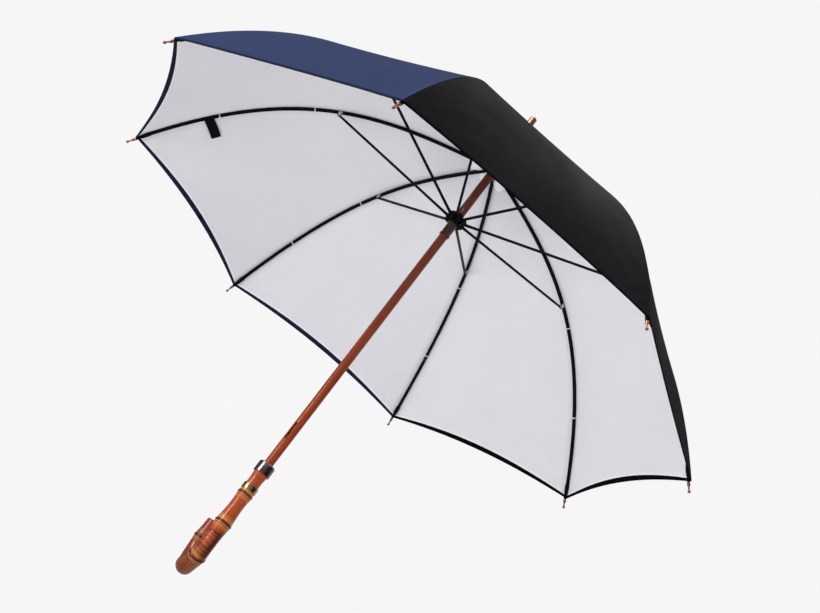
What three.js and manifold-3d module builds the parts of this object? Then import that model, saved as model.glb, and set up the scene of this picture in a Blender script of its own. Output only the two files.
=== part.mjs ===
// Stick umbrella, open, with a wooden shaft, a bamboo crook handle, an eight-rib channel frame and a
// double canopy. Millimetres, +Z along the shaft towards the ferrule, origin on the shaft's axis at the
// middle of the straight grip. The crook's return leg points along +X.
import * as THREE from 'three';
import { mergeVertices } from 'three/addons/utils/BufferGeometryUtils.js';
import Module from 'manifold-3d';

const wasm = await Module();
wasm.setup();

// ---------------------------------------------------------------- driving dimensions

const RIB_COUNT = 8;
const RIB_STEP = (2 * Math.PI) / RIB_COUNT;
const FIRST_RIB_AZIMUTH = RIB_STEP / 2; // the crook's plane lies midway between two ribs

const CROWN_Z = 692; // height of the rib pivots in the crown
const PIVOT_RADIUS = 12; // the ribs' and stretchers' pivot circles
const CANOPY_RADIUS = 515; // from the axis to a rib's end
const DROP_LINEAR = 0.082; // rib height below the crown: linear share of the canopy radius
const DROP_CURVED = 0.477; // and curved share
const DROP_POWER = 3.2;
const FLEX_RADIUS = 274.5; // where a rib's inner half hands over to its outer half
const JOINT_RADIUS = 270; // a stretcher's upper pivot
const JOINT_BELOW_RIB = 5;

const SHAFT_RADIUS = 7;
const RUNNING_GAP = 0.3; // between pieces that slide on or sit round each other
const COLLAR_BOTTOM = 66;
const COLLAR_TOP = 83;
const SHAFT_SHOULDER = 72; // the shaft's tenon starts here and goes down into the handle
const FERRULE_BOTTOM = 752;
const FERRULE_TOP = 816;

const GRIP_BOTTOM = -52; // the crook's bend starts here
const BEND_RADIUS = 42;
const CROOK_END = -15; // height of the return leg's cut end

const CATCH_AZIMUTH = THREE.MathUtils.degToRad(135); // midway between two ribs
const STAPLE_AZIMUTH = THREE.MathUtils.degToRad(165);
const WINDOW_BELOW_PIVOT = 24; // the catch window's middle, below the runner's pivots
const CLOSED_LINK_ANGLE = THREE.MathUtils.degToRad(88.3); // rib and stretcher links when folded

// ---------------------------------------------------------------- materials

const material = (color, roughness, metalness = 0) =>
  new THREE.MeshStandardMaterial({ color, roughness, metalness });

const MATERIALS = {
  shaftWood: material(0x8e4426, 0.3),
  bamboo: material(0xb8652c, 0.28),
  gunmetal: material(0x4a4246, 0.25, 0.9),
  gold: material(0xc9a45c, 0.25, 1),
  copper: material(0xc08468, 0.3, 0.9),
  blackSteel: material(0x121214, 0.45, 0.4),
  spring: material(0xb9b9bd, 0.3, 0.9),
  runnerMetal: material(0x2d2422, 0.35, 0.6),
  brassTip: material(0xb98a6a, 0.3, 0.9),
  canopyCloth: material(0x252836, 0.85),
};

// ---------------------------------------------------------------- geometry helpers

function toSolid(geometry) {
  const bare = geometry.clone();
  bare.deleteAttribute('normal');
  bare.deleteAttribute('uv');
  const merged = mergeVertices(bare, 1e-4);
  return new wasm.Manifold(new wasm.Mesh({
    numProp: 3,
    vertProperties: new Float32Array(merged.attributes.position.array),
    triVerts: new Uint32Array(merged.index.array),
  }));
}

function toGeometry(solid) {
  const mesh = solid.getMesh();
  const geometry = new THREE.BufferGeometry();
  geometry.setAttribute('position', new THREE.BufferAttribute(mesh.vertProperties.slice(), 3));
  geometry.setIndex(new THREE.BufferAttribute(mesh.triVerts.slice(), 1));
  geometry.computeVertexNormals();
  return geometry;
}

const lathe = (profile, segments) => {
  const points = profile.map(([radius, z]) => new THREE.Vector2(radius, z));
  return new THREE.LatheGeometry(points, segments).rotateX(Math.PI / 2);
};

// A ring of revolution about Z whose section closes on itself.
const latheRing = (section, segments) => lathe([...section, section[0]], segments);

// A closed solid through equal rings of points, with its two ends filled by triangulating the section.
function loft(rings, section) {
  const count = section.length;
  const positions = rings.flat().flatMap((p) => [p.x, p.y, p.z]);
  const index = [];
  for (let i = 0; i < rings.length - 1; i += 1) {
    for (let j = 0; j < count; j += 1) {
      const a = i * count + j;
      const b = i * count + ((j + 1) % count);
      index.push(a, b, b + count, a, b + count, a + count);
    }
  }
  const last = (rings.length - 1) * count;
  for (const [a, b, c] of THREE.ShapeUtils.triangulateShape(section, [])) {
    index.push(a, c, b);
    index.push(last + a, last + b, last + c);
  }
  const geometry = new THREE.BufferGeometry();
  geometry.setAttribute('position', new THREE.Float32BufferAttribute(positions, 3));
  geometry.setIndex(index);
  geometry.computeVertexNormals();
  return geometry;
}

// A plate in the XZ plane, centred on y = 0, from an outline of [x, z] points.
function plate(outline, thickness) {
  const shape = new THREE.Shape(outline.map(([x, z]) => new THREE.Vector2(x, z)));
  const geometry = new THREE.ExtrudeGeometry(shape, { depth: thickness, bevelEnabled: false });
  return geometry.translate(0, 0, -thickness / 2).rotateX(Math.PI / 2);
}

const disc = (radius, count) => Array.from({ length: count }, (_, i) => {
  const angle = (2 * Math.PI * i) / count;
  return [radius * Math.cos(angle), radius * Math.sin(angle)];
});

const moved = (outline, x, z) => outline.map(([a, b]) => [a + x, b + z]);

function box(x0, x1, y0, y1, z0, z1) {
  const geometry = new THREE.BoxGeometry(x1 - x0, y1 - y0, z1 - z0);
  return geometry.translate((x0 + x1) / 2, (y0 + y1) / 2, (z0 + z1) / 2);
}

// ---------------------------------------------------------------- the rib's curve

const drop = (r) => {
  const share = r / CANOPY_RADIUS;
  return CANOPY_RADIUS * (DROP_LINEAR * share + DROP_CURVED * share ** DROP_POWER);
};
const slope = (r) =>
  DROP_LINEAR + DROP_CURVED * DROP_POWER * (r / CANOPY_RADIUS) ** (DROP_POWER - 1);
const ribZ = (r) => CROWN_Z - drop(r) + drop(PIVOT_RADIUS);

// ---------------------------------------------------------------- fold geometry

// The crown pivot, the stretcher's upper pivot and the runner pivot make an isosceles linkage, so the
// runner slides straight along the shaft while rib and stretcher turn by equal and opposite angles.
const JOINT_Z = ribZ(JOINT_RADIUS) - JOINT_BELOW_RIB;
const LINK_RUN = JOINT_RADIUS - PIVOT_RADIUS;
const LINK_DROP = CROWN_Z - JOINT_Z;
const LINK_LENGTH = Math.hypot(LINK_RUN, LINK_DROP);
const RUNNER_Z = CROWN_Z - 2 * LINK_DROP; // runner pivots, umbrella open
const CLOSED_RUNNER_Z = CROWN_Z - 2 * LINK_LENGTH * Math.sin(CLOSED_LINK_ANGLE);

// ---------------------------------------------------------------- shaft, ferrule and collar

const CATCH_SLOT = { width: 3, below: 12, above: 18, depth: SHAFT_RADIUS + 1 };
const STAPLE = { z: RUNNER_Z + 18, halfSpan: 3, wire: 0.6, depth: 3, stand: 0.9, corner: 1.2 };
const TENON = { radius: 5, length: 38 };
const TOP_TENON = { radius: 4, length: 21.7 };
const TOP_TAPER_RADIUS = 6.2;

const topCatchZ = RUNNER_Z - WINDOW_BELOW_PIVOT;
const bottomCatchZ = CLOSED_RUNNER_Z - WINDOW_BELOW_PIVOT;

function shaftGeometry() {
  const turned = toSolid(lathe([
    [0, SHAFT_SHOULDER - TENON.length],
    [TENON.radius, SHAFT_SHOULDER - TENON.length],
    [TENON.radius, SHAFT_SHOULDER],
    [SHAFT_RADIUS, SHAFT_SHOULDER],
    [SHAFT_RADIUS, CROWN_Z + 14],
    [TOP_TAPER_RADIUS, FERRULE_BOTTOM - RUNNING_GAP],
    [TOP_TENON.radius, FERRULE_BOTTOM - RUNNING_GAP],
    [TOP_TENON.radius, FERRULE_BOTTOM + TOP_TENON.length],
    [0, FERRULE_BOTTOM + TOP_TENON.length],
  ], 24));
  const slot = (z) => toSolid(
    box(SHAFT_RADIUS - CATCH_SLOT.depth, SHAFT_RADIUS + 1, -CATCH_SLOT.width / 2,
      CATCH_SLOT.width / 2, z - CATCH_SLOT.below, z + CATCH_SLOT.above)
      .rotateZ(CATCH_AZIMUTH));
  const stapleHole = (z) => toSolid(
    new THREE.CylinderGeometry(STAPLE.wire + RUNNING_GAP, STAPLE.wire + RUNNING_GAP, 8, 8)
      .rotateZ(Math.PI / 2).translate(SHAFT_RADIUS, 0, z).rotateZ(STAPLE_AZIMUTH));
  return toGeometry(turned
    .subtract(slot(topCatchZ))
    .subtract(slot(bottomCatchZ))
    .subtract(stapleHole(STAPLE.z - STAPLE.halfSpan))
    .subtract(stapleHole(STAPLE.z + STAPLE.halfSpan)));
}

const FERRULE = { radius: 6.1, shoulderRadius: 5.2, endRadius: 4.6, taper: 2, edge: 0.4 };

// A metal cap with a blind socket for the shaft's upper tenon.
function ferruleGeometry() {
  const socketTop = FERRULE_BOTTOM + TOP_TENON.length + RUNNING_GAP;
  return lathe([
    [0, socketTop],
    [TOP_TENON.radius + RUNNING_GAP, socketTop],
    [TOP_TENON.radius + RUNNING_GAP, FERRULE_BOTTOM],
    [FERRULE.radius, FERRULE_BOTTOM],
    [FERRULE.radius, FERRULE_TOP - FERRULE.taper],
    [FERRULE.shoulderRadius, FERRULE_TOP - FERRULE.edge],
    [FERRULE.endRadius, FERRULE_TOP],
    [0, FERRULE_TOP],
  ], 20);
}

const HANDLE_TOP = SHAFT_SHOULDER - 0.6;
const HANDLE_TOP_RADIUS = 11.3;
const COLLAR = { radius: 13, socketGap: 0.5, lip: 0.4, chamfer: 1.1 };

const collarGeometry = () => latheRing([
  [SHAFT_RADIUS + RUNNING_GAP, SHAFT_SHOULDER],
  [HANDLE_TOP_RADIUS + COLLAR.socketGap, SHAFT_SHOULDER],
  [HANDLE_TOP_RADIUS + COLLAR.socketGap, COLLAR_BOTTOM],
  [COLLAR.radius - COLLAR.lip, COLLAR_BOTTOM],
  [COLLAR.radius, COLLAR_BOTTOM + COLLAR.lip],
  [COLLAR.radius, COLLAR_TOP - COLLAR.chamfer],
  [COLLAR.radius - COLLAR.chamfer, COLLAR_TOP],
  [SHAFT_RADIUS + RUNNING_GAP, COLLAR_TOP],
], 24);

// ---------------------------------------------------------------- bamboo handle

const BAMBOO = {
  waist: 9.9, // radius between the collar and the first node
  swell: 1.4, // what the cane gains below it, from the first station to the second
  swellFrom: 40,
  swellTo: 95,
  flare: 1.3,
  flareWidth: 14,
  ring: 1.2,
  ringWidth: 3.2,
  sides: 14,
};
const HANDLE_TOP_FLARE = 12; // length over which the top narrows to the waist
const STATION_STEP = 9; // sections along the handle, with closer ones about each node
const NODE_STATIONS = [-4, -1.5, 1.5, 4];
const END_ROUNDING = 1;
const BEND_LENGTH = Math.PI * BEND_RADIUS;
const STRAIGHT_LENGTH = HANDLE_TOP - GRIP_BOTTOM;
const HANDLE_LENGTH = STRAIGHT_LENGTH + BEND_LENGTH + (CROOK_END - GRIP_BOTTOM);
const BAND = { bottom: 35.5, top: 44.5, inner: 11.15, outer: 11.95, edge: 0.2, edgeHeight: 0.8 };

// Distances of the bamboo's nodes from the handle's top, along its centre line.
const BAMBOO_NODES = [
  HANDLE_TOP - 29.5,
  HANDLE_TOP + 21,
  STRAIGHT_LENGTH + BEND_RADIUS * THREE.MathUtils.degToRad(36),
  STRAIGHT_LENGTH + BEND_RADIUS * THREE.MathUtils.degToRad(104),
  STRAIGHT_LENGTH + BEND_LENGTH + 7,
];

function handlePoint(s) {
  if (s <= STRAIGHT_LENGTH) {
    return { x: 0, z: HANDLE_TOP - s, angle: 0 };
  }
  const onBend = s - STRAIGHT_LENGTH;
  if (onBend <= BEND_LENGTH) {
    const angle = onBend / BEND_RADIUS;
    const x = BEND_RADIUS * (1 - Math.cos(angle));
    return { x, z: GRIP_BOTTOM - BEND_RADIUS * Math.sin(angle), angle };
  }
  return { x: 2 * BEND_RADIUS, z: GRIP_BOTTOM + onBend - BEND_LENGTH, angle: Math.PI };
}

function handleRadius(s) {
  let radius = BAMBOO.waist + (HANDLE_TOP_RADIUS - BAMBOO.waist) * Math.exp(-((s / HANDLE_TOP_FLARE) ** 2));
  radius += BAMBOO.swell * THREE.MathUtils.smoothstep(s, BAMBOO.swellFrom, BAMBOO.swellTo);
  for (const node of BAMBOO_NODES) {
    radius += BAMBOO.flare * Math.exp(-(((s - node) / BAMBOO.flareWidth) ** 2));
    radius += BAMBOO.ring * Math.exp(-(((s - node) / BAMBOO.ringWidth) ** 2));
  }
  return radius;
}

function handleStations() {
  const stations = [];
  for (let s = 0; s < HANDLE_LENGTH; s += STATION_STEP) {
    stations.push(s);
  }
  for (const node of BAMBOO_NODES) {
    stations.push(...NODE_STATIONS.map((offset) => node + offset));
  }
  stations.push(HANDLE_LENGTH);
  stations.sort((a, b) => a - b);
  return stations.filter((s, i) => i === 0 || s - stations[i - 1] > 1);
}

function handleGeometry() {
  const section = disc(1, BAMBOO.sides).map(([x, y]) => new THREE.Vector2(x, y));
  const rings = handleStations().map((s) => {
    const { x, z, angle } = handlePoint(s);
    const radius = handleRadius(s) - (s === HANDLE_LENGTH ? END_ROUNDING : 0);
    return section.map((p) => new THREE.Vector3(
      x + radius * p.x * Math.cos(angle),
      -radius * p.y,
      z + radius * p.x * Math.sin(angle)));
  });
  const depth = TENON.length + 1;
  const bore = lathe([
    [0, HANDLE_TOP - depth],
    [TENON.radius + RUNNING_GAP, HANDLE_TOP - depth],
    [TENON.radius + RUNNING_GAP, HANDLE_TOP + 1],
    [0, HANDLE_TOP + 1],
  ], 16);
  return toGeometry(toSolid(loft(rings, section)).subtract(toSolid(bore)));
}

const bandGeometry = () => latheRing([
  [BAND.inner, BAND.bottom],
  [BAND.outer - BAND.edge, BAND.bottom],
  [BAND.outer, BAND.bottom + BAND.edgeHeight],
  [BAND.outer, BAND.top - BAND.edgeHeight],
  [BAND.outer - BAND.edge, BAND.top],
  [BAND.inner, BAND.top],
], 24);

// ---------------------------------------------------------------- notched heads: crown and runner

const HEAD = { core: 9.1, notch: 3.6, wire: 0.6, chamfer: 0.8, sides: 24 };
const CROWN_HEAD = { radius: 13.6, below: 6, above: 2.6 }; // heights are either side of the pivots
const RUNNER_HEAD = { radius: 17, below: 6.5, above: 6.5 };

// A disc round the shaft with a notch for each link and a ring of wire through the notches.
function notchedHead(pivotZ, { radius, below, above }) {
  let head = toSolid(latheRing([
    [SHAFT_RADIUS + RUNNING_GAP, pivotZ - below],
    [radius - HEAD.chamfer, pivotZ - below],
    [radius, pivotZ - below + HEAD.chamfer],
    [radius, pivotZ + above - HEAD.chamfer],
    [radius - HEAD.chamfer, pivotZ + above],
    [SHAFT_RADIUS + RUNNING_GAP, pivotZ + above],
  ], HEAD.sides));
  for (let k = 0; k < RIB_COUNT; k += 1) {
    const notch = box(HEAD.core, radius + 2, -HEAD.notch / 2, HEAD.notch / 2,
      pivotZ - below - 1, pivotZ + above + 1);
    head = head.subtract(toSolid(notch.rotateZ(FIRST_RIB_AZIMUTH + k * RIB_STEP)));
  }
  const wire = new THREE.TorusGeometry(PIVOT_RADIUS, HEAD.wire, 6, HEAD.sides).translate(0, 0, pivotZ);
  return toGeometry(head.add(toSolid(wire)));
}

const SLEEVE = { outer: 8.1, rim: 8.9, rimHeight: 2, top: 6.8, bottom: 34 };
const WINDOW = { width: 3.6, halfHeight: 6 };

function sleeveGeometry() {
  const bore = SHAFT_RADIUS + RUNNING_GAP;
  const tube = toSolid(latheRing([
    [bore, RUNNER_Z - SLEEVE.bottom],
    [SLEEVE.rim, RUNNER_Z - SLEEVE.bottom],
    [SLEEVE.rim, RUNNER_Z - SLEEVE.bottom + SLEEVE.rimHeight],
    [SLEEVE.outer, RUNNER_Z - SLEEVE.bottom + SLEEVE.rimHeight + 0.8],
    [SLEEVE.outer, RUNNER_Z - SLEEVE.top],
    [bore, RUNNER_Z - SLEEVE.top],
  ], 24));
  const window = box(SHAFT_RADIUS - 1, SLEEVE.rim + 2, -WINDOW.width / 2, WINDOW.width / 2,
    topCatchZ - WINDOW.halfHeight, topCatchZ + WINDOW.halfHeight).rotateZ(CATCH_AZIMUTH);
  return toGeometry(tube.subtract(toSolid(window)));
}

const CAP = {
  radius: 17, bottom: CROWN_Z + 8.2, lip: 1, shoulder: 2.8, shoulderRadius: 12.5, height: 3.6,
};

const capGeometry = () => latheRing([
  [SHAFT_RADIUS + RUNNING_GAP, CAP.bottom],
  [CAP.radius, CAP.bottom],
  [CAP.radius, CAP.bottom + CAP.lip],
  [CAP.shoulderRadius, CAP.bottom + CAP.shoulder],
  [SHAFT_RADIUS + RUNNING_GAP, CAP.bottom + CAP.height],
], 24);

// ---------------------------------------------------------------- spring catches and staple

const LEAF = { inner: 3.2, outer: 4.8, below: 11, above: 17, thickness: 1.8 };
const NOSE = { reach: 9.8, half: 4.4, flat: 1.8 };

// A flat spring in the shaft's slot. Its nose has a square shoulder and a ramp; flip = -1 turns the
// nose over, so that the shoulder faces up.
function catchGeometry(z, flip) {
  const nose = [
    [LEAF.outer, -NOSE.half * flip],
    [NOSE.reach, -NOSE.half * flip],
    [NOSE.reach, (-NOSE.half + NOSE.flat) * flip],
    [LEAF.outer, NOSE.half * flip],
  ];
  const upwards = flip > 0 ? nose : nose.reverse();
  const outline = [
    [LEAF.inner, -LEAF.below],
    [LEAF.outer, -LEAF.below],
    ...upwards,
    [LEAF.outer, LEAF.above],
    [LEAF.inner, LEAF.above],
  ];
  return plate(moved(outline, 0, z), LEAF.thickness).rotateZ(CATCH_AZIMUTH);
}

function stapleGeometry() {
  const reach = SHAFT_RADIUS + STAPLE.stand;
  const { halfSpan, corner } = STAPLE;
  const path = [
    [SHAFT_RADIUS - STAPLE.depth, -halfSpan],
    [reach - corner, -halfSpan],
    [reach - corner / 4, -halfSpan + corner / 2],
    [reach, -halfSpan + corner],
    [reach, halfSpan - corner],
    [reach - corner / 4, halfSpan - corner / 2],
    [reach - corner, halfSpan],
    [SHAFT_RADIUS - STAPLE.depth, halfSpan],
  ].map(([x, z]) => new THREE.Vector3(x, 0, z + STAPLE.z));
  const section = disc(STAPLE.wire, 8).map(([x, y]) => new THREE.Vector2(x, y));
  const rings = path.map((point, i) => {
    const before = path[Math.max(i - 1, 0)];
    const after = path[Math.min(i + 1, path.length - 1)];
    const along = new THREE.Vector3().subVectors(after, before).normalize();
    const side = new THREE.Vector3(0, 1, 0);
    const up = new THREE.Vector3().crossVectors(along, side);
    return section.map((p) => point.clone().addScaledVector(side, p.x).addScaledVector(up, p.y));
  });
  return loft(rings, section).rotateZ(STAPLE_AZIMUTH);
}

// ---------------------------------------------------------------- ribs, stretchers and tips

const CHANNEL = { halfWidth: 2, halfHeight: 1.6, wall: 0.8 };
const EYE = { radius: 2.4, hole: 0.95, sides: 10, holeSides: 8, thickness: 2.4 };
const BLADE = { halfWidth: 1.3, halfHeight: 1.4, end: 9, overlap: 1.5 }; // from the crown pivot out
const CHANNEL_STEPS = 8; // sections along each half of a rib
const FLEX_GAP = 0.6; // each side of the flex point
const EARS = { inner: 1.5, outer: 2.5, halfLength: 2.8, top: 0.6, below: 2.4, pin: 0.6 };

// The fluted channel of a rib between two radii, in the XZ plane, open towards the shaft.
function channelGeometry(from, to, steps) {
  const { halfWidth: w, halfHeight: h, wall } = CHANNEL;
  const section = [
    [-w, -h], [-w + wall, -h], [-w + wall, h - wall], [w - wall, h - wall],
    [w - wall, -h], [w, -h], [w, h], [-w, h],
  ].map(([x, y]) => new THREE.Vector2(x, y));
  const rings = [];
  for (let i = 0; i <= steps; i += 1) {
    const r = from + ((to - from) * i) / steps;
    const angle = Math.atan(slope(r));
    rings.push(section.map((p) => new THREE.Vector3(
      r + p.y * Math.sin(angle), p.x, ribZ(r) + p.y * Math.cos(angle))));
  }
  return loft(rings, section);
}

const eyeHole = (x, z) => toSolid(
  new THREE.CylinderGeometry(EYE.hole, EYE.hole, 2 * EYE.thickness, EYE.holeSides)
    .translate(x, 0, z));

function innerRibGeometry() {
  const angle = Math.atan(slope(PIVOT_RADIUS));
  const blade = box(EYE.radius / 2, BLADE.end + BLADE.overlap, -BLADE.halfWidth, BLADE.halfWidth,
    -BLADE.halfHeight, BLADE.halfHeight)
    .rotateY(angle).translate(PIVOT_RADIUS, 0, CROWN_Z);
  const eye = plate(moved(disc(EYE.radius, EYE.sides), PIVOT_RADIUS, CROWN_Z), EYE.thickness);
  const channel = channelGeometry(PIVOT_RADIUS + BLADE.end, FLEX_RADIUS - FLEX_GAP, CHANNEL_STEPS);
  let rib = toSolid(blade).add(toSolid(eye)).subtract(eyeHole(PIVOT_RADIUS, CROWN_Z))
    .add(toSolid(channel));
  const jointAngle = Math.atan(slope(JOINT_RADIUS));
  for (const side of [-1, 1]) {
    const near = Math.min(side * EARS.inner, side * EARS.outer);
    const far = Math.max(side * EARS.inner, side * EARS.outer);
    const ear = box(-EARS.halfLength, EARS.halfLength, near, far,
      -JOINT_BELOW_RIB - EARS.below, EARS.top)
      .rotateY(jointAngle).translate(JOINT_RADIUS, 0, ribZ(JOINT_RADIUS));
    rib = rib.add(toSolid(ear));
  }
  const pin = new THREE.CylinderGeometry(EARS.pin, EARS.pin, 2 * EARS.outer - 0.2, 8)
    .translate(JOINT_RADIUS, 0, JOINT_Z);
  return toGeometry(rib.add(toSolid(pin)));
}

const outerRibGeometry = () => channelGeometry(FLEX_RADIUS + FLEX_GAP, CANOPY_RADIUS, CHANNEL_STEPS);

const BAR_HALF_HEIGHT = 1.5;

function stretcherGeometry() {
  const angle = Math.atan2(LINK_DROP, LINK_RUN);
  const half = LINK_LENGTH / 2;
  let bar = toSolid(box(-half, half, -EYE.thickness / 2, EYE.thickness / 2, -BAR_HALF_HEIGHT,
    BAR_HALF_HEIGHT));
  for (const end of [-half, half]) {
    bar = bar.add(toSolid(plate(moved(disc(EYE.radius, EYE.sides), end, 0), EYE.thickness)));
  }
  for (const end of [-half, half]) {
    bar = bar.subtract(eyeHole(end, 0));
  }
  return toGeometry(bar).rotateY(-angle)
    .translate((JOINT_RADIUS + PIVOT_RADIUS) / 2, 0, (JOINT_Z + RUNNER_Z) / 2);
}

// A tip's outline along its own axis, from the rib's end outwards: a ferrule, a spike and a ball.
const TIP_OUTLINE = [
  [0, 0.3], [2.3, 0.3], [2.5, 3.2], [1.5, 5.5], [1.1, 10], [2.1, 12], [2.3, 13.2], [1.6, 14.8],
  [0, 15.4],
];

function tipGeometry() {
  const angle = Math.atan(slope(CANOPY_RADIUS));
  return lathe(TIP_OUTLINE, 10).rotateY(Math.PI / 2 + angle)
    .translate(CANOPY_RADIUS, 0, ribZ(CANOPY_RADIUS));
}

// ---------------------------------------------------------------- canopy

const CLOTH = {
  lift: 3.2, thickness: 1.6, crownLift: 2.6, crownWidth: 24, seamGap: 0.2, along: 6, across: 8,
};
const HEM_RADIUS = 513;
const HEM_DIP = 7.5; // how far the hem's middle draws in between two ribs, along the rib's radius
const PANEL_SAG = 4; // how far a panel's middle draws inwards near the hem
const CANOPY_START = 8.2;

// A point of the cloth in a rib's own frame: across runs from -1 (one panel's middle line) through 0
// (the rib) to 1 (the other panel's middle line), and height is measured off the rib's centre line.
function clothPoint(r, across, height) {
  const t = Math.abs(across) / 2;
  const side = Math.sign(across) || 1;
  const lift = CLOTH.lift + height + CLOTH.crownLift * Math.exp(-((r / CLOTH.crownWidth) ** 2));
  const lean = Math.atan(slope(r));
  const radius = r + lift * Math.sin(lean);
  const z = ribZ(r) + lift * Math.cos(lean);
  const sag = PANEL_SAG * (r / CANOPY_RADIUS) ** 2 * 4 * t * (1 - t);
  const inwards = radius - sag * Math.sin(lean);
  const x = inwards * (1 - t + t * Math.cos(RIB_STEP));
  const y = inwards * t * Math.sin(RIB_STEP) * side;
  return new THREE.Vector3(x, y, z - sag * Math.cos(lean));
}

// A gore centred on a rib, from the inner radius to the outer one, as a closed thin solid.
function goreGeometry(from, to, dip) {
  const { along, across: acrossSteps } = CLOTH;
  const positions = [];
  const layer = (height) => {
    for (let i = 0; i <= along; i += 1) {
      for (let j = 0; j <= acrossSteps; j += 1) {
        const share = (2 * j) / acrossSteps - 1;
        const t = Math.abs(share) / 2;
        const end = to - dip * 4 * t * (1 - t);
        const r = from + ((end - from) * i) / along;
        const chord = 2 * r * Math.sin(RIB_STEP / 2);
        const across = share * (1 - (2 * CLOTH.seamGap) / chord);
        positions.push(...clothPoint(r, across, height).toArray());
      }
    }
  };
  layer(0);
  layer(CLOTH.thickness);
  const row = acrossSteps + 1;
  const top = (along + 1) * row;
  const index = [];
  const quad = (a, b, c, d) => index.push(a, b, c, a, c, d);
  for (let i = 0; i < along; i += 1) {
    for (let j = 0; j < acrossSteps; j += 1) {
      const a = i * row + j;
      quad(a, a + 1, a + row + 1, a + row);
      quad(top + a, top + a + row, top + a + row + 1, top + a + 1);
    }
    const left = i * row;
    const right = left + acrossSteps;
    quad(left, left + row, top + left + row, top + left);
    quad(right, top + right, top + right + row, right + row);
  }
  for (let j = 0; j < acrossSteps; j += 1) {
    const far = along * row + j;
    quad(j, top + j, top + j + 1, j + 1);
    quad(far, far + 1, top + far + 1, top + far);
  }
  const geometry = new THREE.BufferGeometry();
  geometry.setAttribute('position', new THREE.Float32BufferAttribute(positions, 3));
  geometry.setIndex(index);
  geometry.computeVertexNormals();
  return geometry;
}

// ---------------------------------------------------------------- assembly

const umbrella = new THREE.Group();

function add(parent, name, geometry, look) {
  const mesh = new THREE.Mesh(geometry, look);
  mesh.name = name;
  parent.add(mesh);
}

add(umbrella, 'shaft', shaftGeometry(), MATERIALS.shaftWood);
add(umbrella, 'crook_handle', handleGeometry(), MATERIALS.bamboo);
add(umbrella, 'handle_collar', collarGeometry(), MATERIALS.gunmetal);
add(umbrella, 'handle_band', bandGeometry(), MATERIALS.gold);
add(umbrella, 'ferrule', ferruleGeometry(), MATERIALS.copper);
add(umbrella, 'crown_notch', notchedHead(CROWN_Z, CROWN_HEAD), MATERIALS.blackSteel);
add(umbrella, 'crown_cap', capGeometry(), MATERIALS.blackSteel);
add(umbrella, 'runner_stop_staple', stapleGeometry(), MATERIALS.spring);
add(umbrella, 'top_spring_catch', catchGeometry(topCatchZ, -1), MATERIALS.spring);
add(umbrella, 'bottom_spring_catch', catchGeometry(bottomCatchZ, 1), MATERIALS.spring);
add(umbrella, 'runner_head', notchedHead(RUNNER_Z, RUNNER_HEAD), MATERIALS.blackSteel);
add(umbrella, 'runner_sleeve', sleeveGeometry(), MATERIALS.runnerMetal);

for (let k = 0; k < RIB_COUNT; k += 1) {
  const arm = new THREE.Group();
  arm.rotation.z = FIRST_RIB_AZIMUTH + k * RIB_STEP;
  umbrella.add(arm);
  const number = k + 1;
  add(arm, `rib_inner_${number}`, innerRibGeometry(), MATERIALS.blackSteel);
  add(arm, `rib_outer_${number}`, outerRibGeometry(), MATERIALS.blackSteel);
  add(arm, `stretcher_${number}`, stretcherGeometry(), MATERIALS.blackSteel);
  add(arm, `rib_tip_${number}`, tipGeometry(), MATERIALS.brassTip);
  add(arm, `canopy_crown_gore_${number}`,
    goreGeometry(CANOPY_START, FLEX_RADIUS - RUNNING_GAP, 0), MATERIALS.canopyCloth);
  add(arm, `canopy_skirt_gore_${number}`,
    goreGeometry(FLEX_RADIUS + RUNNING_GAP, HEM_RADIUS, HEM_DIP), MATERIALS.canopyCloth);
}

export default umbrella;
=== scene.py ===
import math

import bmesh
import bpy
import numpy as np
from mathutils import Matrix, Vector


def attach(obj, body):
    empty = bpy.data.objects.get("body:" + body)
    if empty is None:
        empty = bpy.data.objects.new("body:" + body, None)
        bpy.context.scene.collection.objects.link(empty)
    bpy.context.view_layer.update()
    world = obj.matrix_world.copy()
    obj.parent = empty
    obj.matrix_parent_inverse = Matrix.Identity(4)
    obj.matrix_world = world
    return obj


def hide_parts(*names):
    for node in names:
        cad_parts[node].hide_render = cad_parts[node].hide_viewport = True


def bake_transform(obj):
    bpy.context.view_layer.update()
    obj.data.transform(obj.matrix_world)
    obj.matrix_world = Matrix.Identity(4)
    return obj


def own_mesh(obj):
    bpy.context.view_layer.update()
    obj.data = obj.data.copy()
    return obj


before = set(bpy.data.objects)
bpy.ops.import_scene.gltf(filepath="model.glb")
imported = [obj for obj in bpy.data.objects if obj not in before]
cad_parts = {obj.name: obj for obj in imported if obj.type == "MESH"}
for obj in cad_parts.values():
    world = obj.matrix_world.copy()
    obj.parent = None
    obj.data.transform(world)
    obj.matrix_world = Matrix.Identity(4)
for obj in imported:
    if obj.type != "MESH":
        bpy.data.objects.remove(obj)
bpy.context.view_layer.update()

MM = 0.001  # shapes below are in millimetres, and meshes in metres
scene = bpy.context.scene

# ---- dimensions shared with the frame

RIBS = 8
STEP = 2 * math.pi / RIBS
CROWN_Z = 692.0
PIVOT_R = 12.0
CANOPY_R = 515.0
FLEX_R = 274.5
JOINT_R = 270.0
HEM_R = 513.0
HEM_DIP = 7.5
PANEL_SAG = 4.0
CANOPY_START = 8.2
GORE_SPAN = 0.765  # a panel's width as a share of its radius
SHAFT_R = 7.0
GRIP_BOTTOM = -52.0
BEND_R = 42.0
CROOK_END = -15.0
HANDLE_TOP = 71.4


def drop(r):
    share = r / CANOPY_R
    return CANOPY_R * (0.082 * share + 0.477 * share ** 3.2)


def slope(r):
    return 0.082 + 0.477 * 3.2 * (r / CANOPY_R) ** 2.2


def rib_z(r):
    return CROWN_Z - drop(r) + drop(PIVOT_R)


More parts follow.
